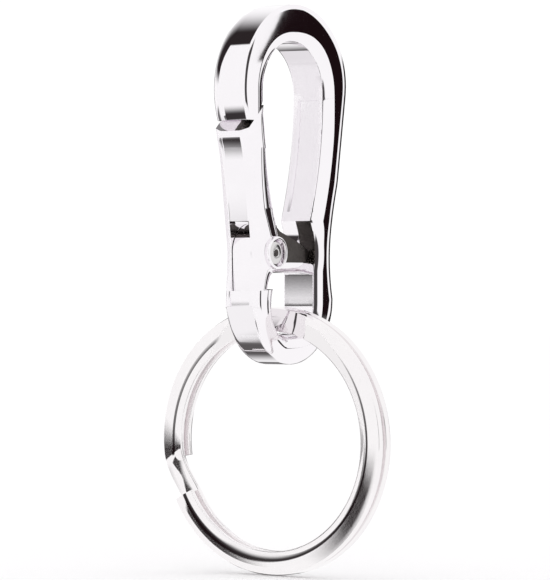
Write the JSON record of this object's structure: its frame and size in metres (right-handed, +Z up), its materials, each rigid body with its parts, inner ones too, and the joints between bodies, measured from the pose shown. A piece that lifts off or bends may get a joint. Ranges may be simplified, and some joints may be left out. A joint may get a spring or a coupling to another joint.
{
  "type": "belt key clip",
  "caption": "Cast hook with a sprung swing gate that clips over a belt loop, and a flat-wire split ring for keys hanging in its eye.",
  "frame": {"origin": "centre of the round belt-loop seat inside the arch, at mid thickness of the casting", "axes": "+X from the nose and gate to the spine, the front face looks along -Y, +Z up towards the crown, away from the key ring"},
  "size_m": [0.021, 0.032, 0.0679],
  "materials": {
    "body_chrome": "bright chrome on a die-cast zinc alloy hook, polished",
    "gate_chrome": "bright chrome on a cast channel gate, polished",
    "rivet_steel": "tubular steel rivet with rolled ends, plated",
    "spring_steel": "drawn spring wire",
    "ring_nickel": "nickel-plated flat steel wire, bright"
  },
  "bodies": {
    "hook": {"hook_body": "body_chrome", "pivot_rivet": "rivet_steel"},
    "gate": {"gate": "gate_chrome", "gate_spring": "spring_steel"},
    "ring": {"split_ring": "ring_nickel"}
  },
  "joints": [
    {"name": "gate_hinge", "type": "hinge", "parent": "hook", "child": "gate", "pos_m": [-0.00385, 0, -0.0191], "axis": [0, 1, 0], "range_deg": [0, 32], "stiffness_Nm_per_rad": 0.01, "springref_deg": -68.75},
    {"name": "ring_swing", "type": "hinge", "parent": "hook", "child": "ring", "pos_m": [-0.0008, 0, -0.03156], "axis": [1, 0, 0], "range_deg": [-60, 60]}
  ]
}
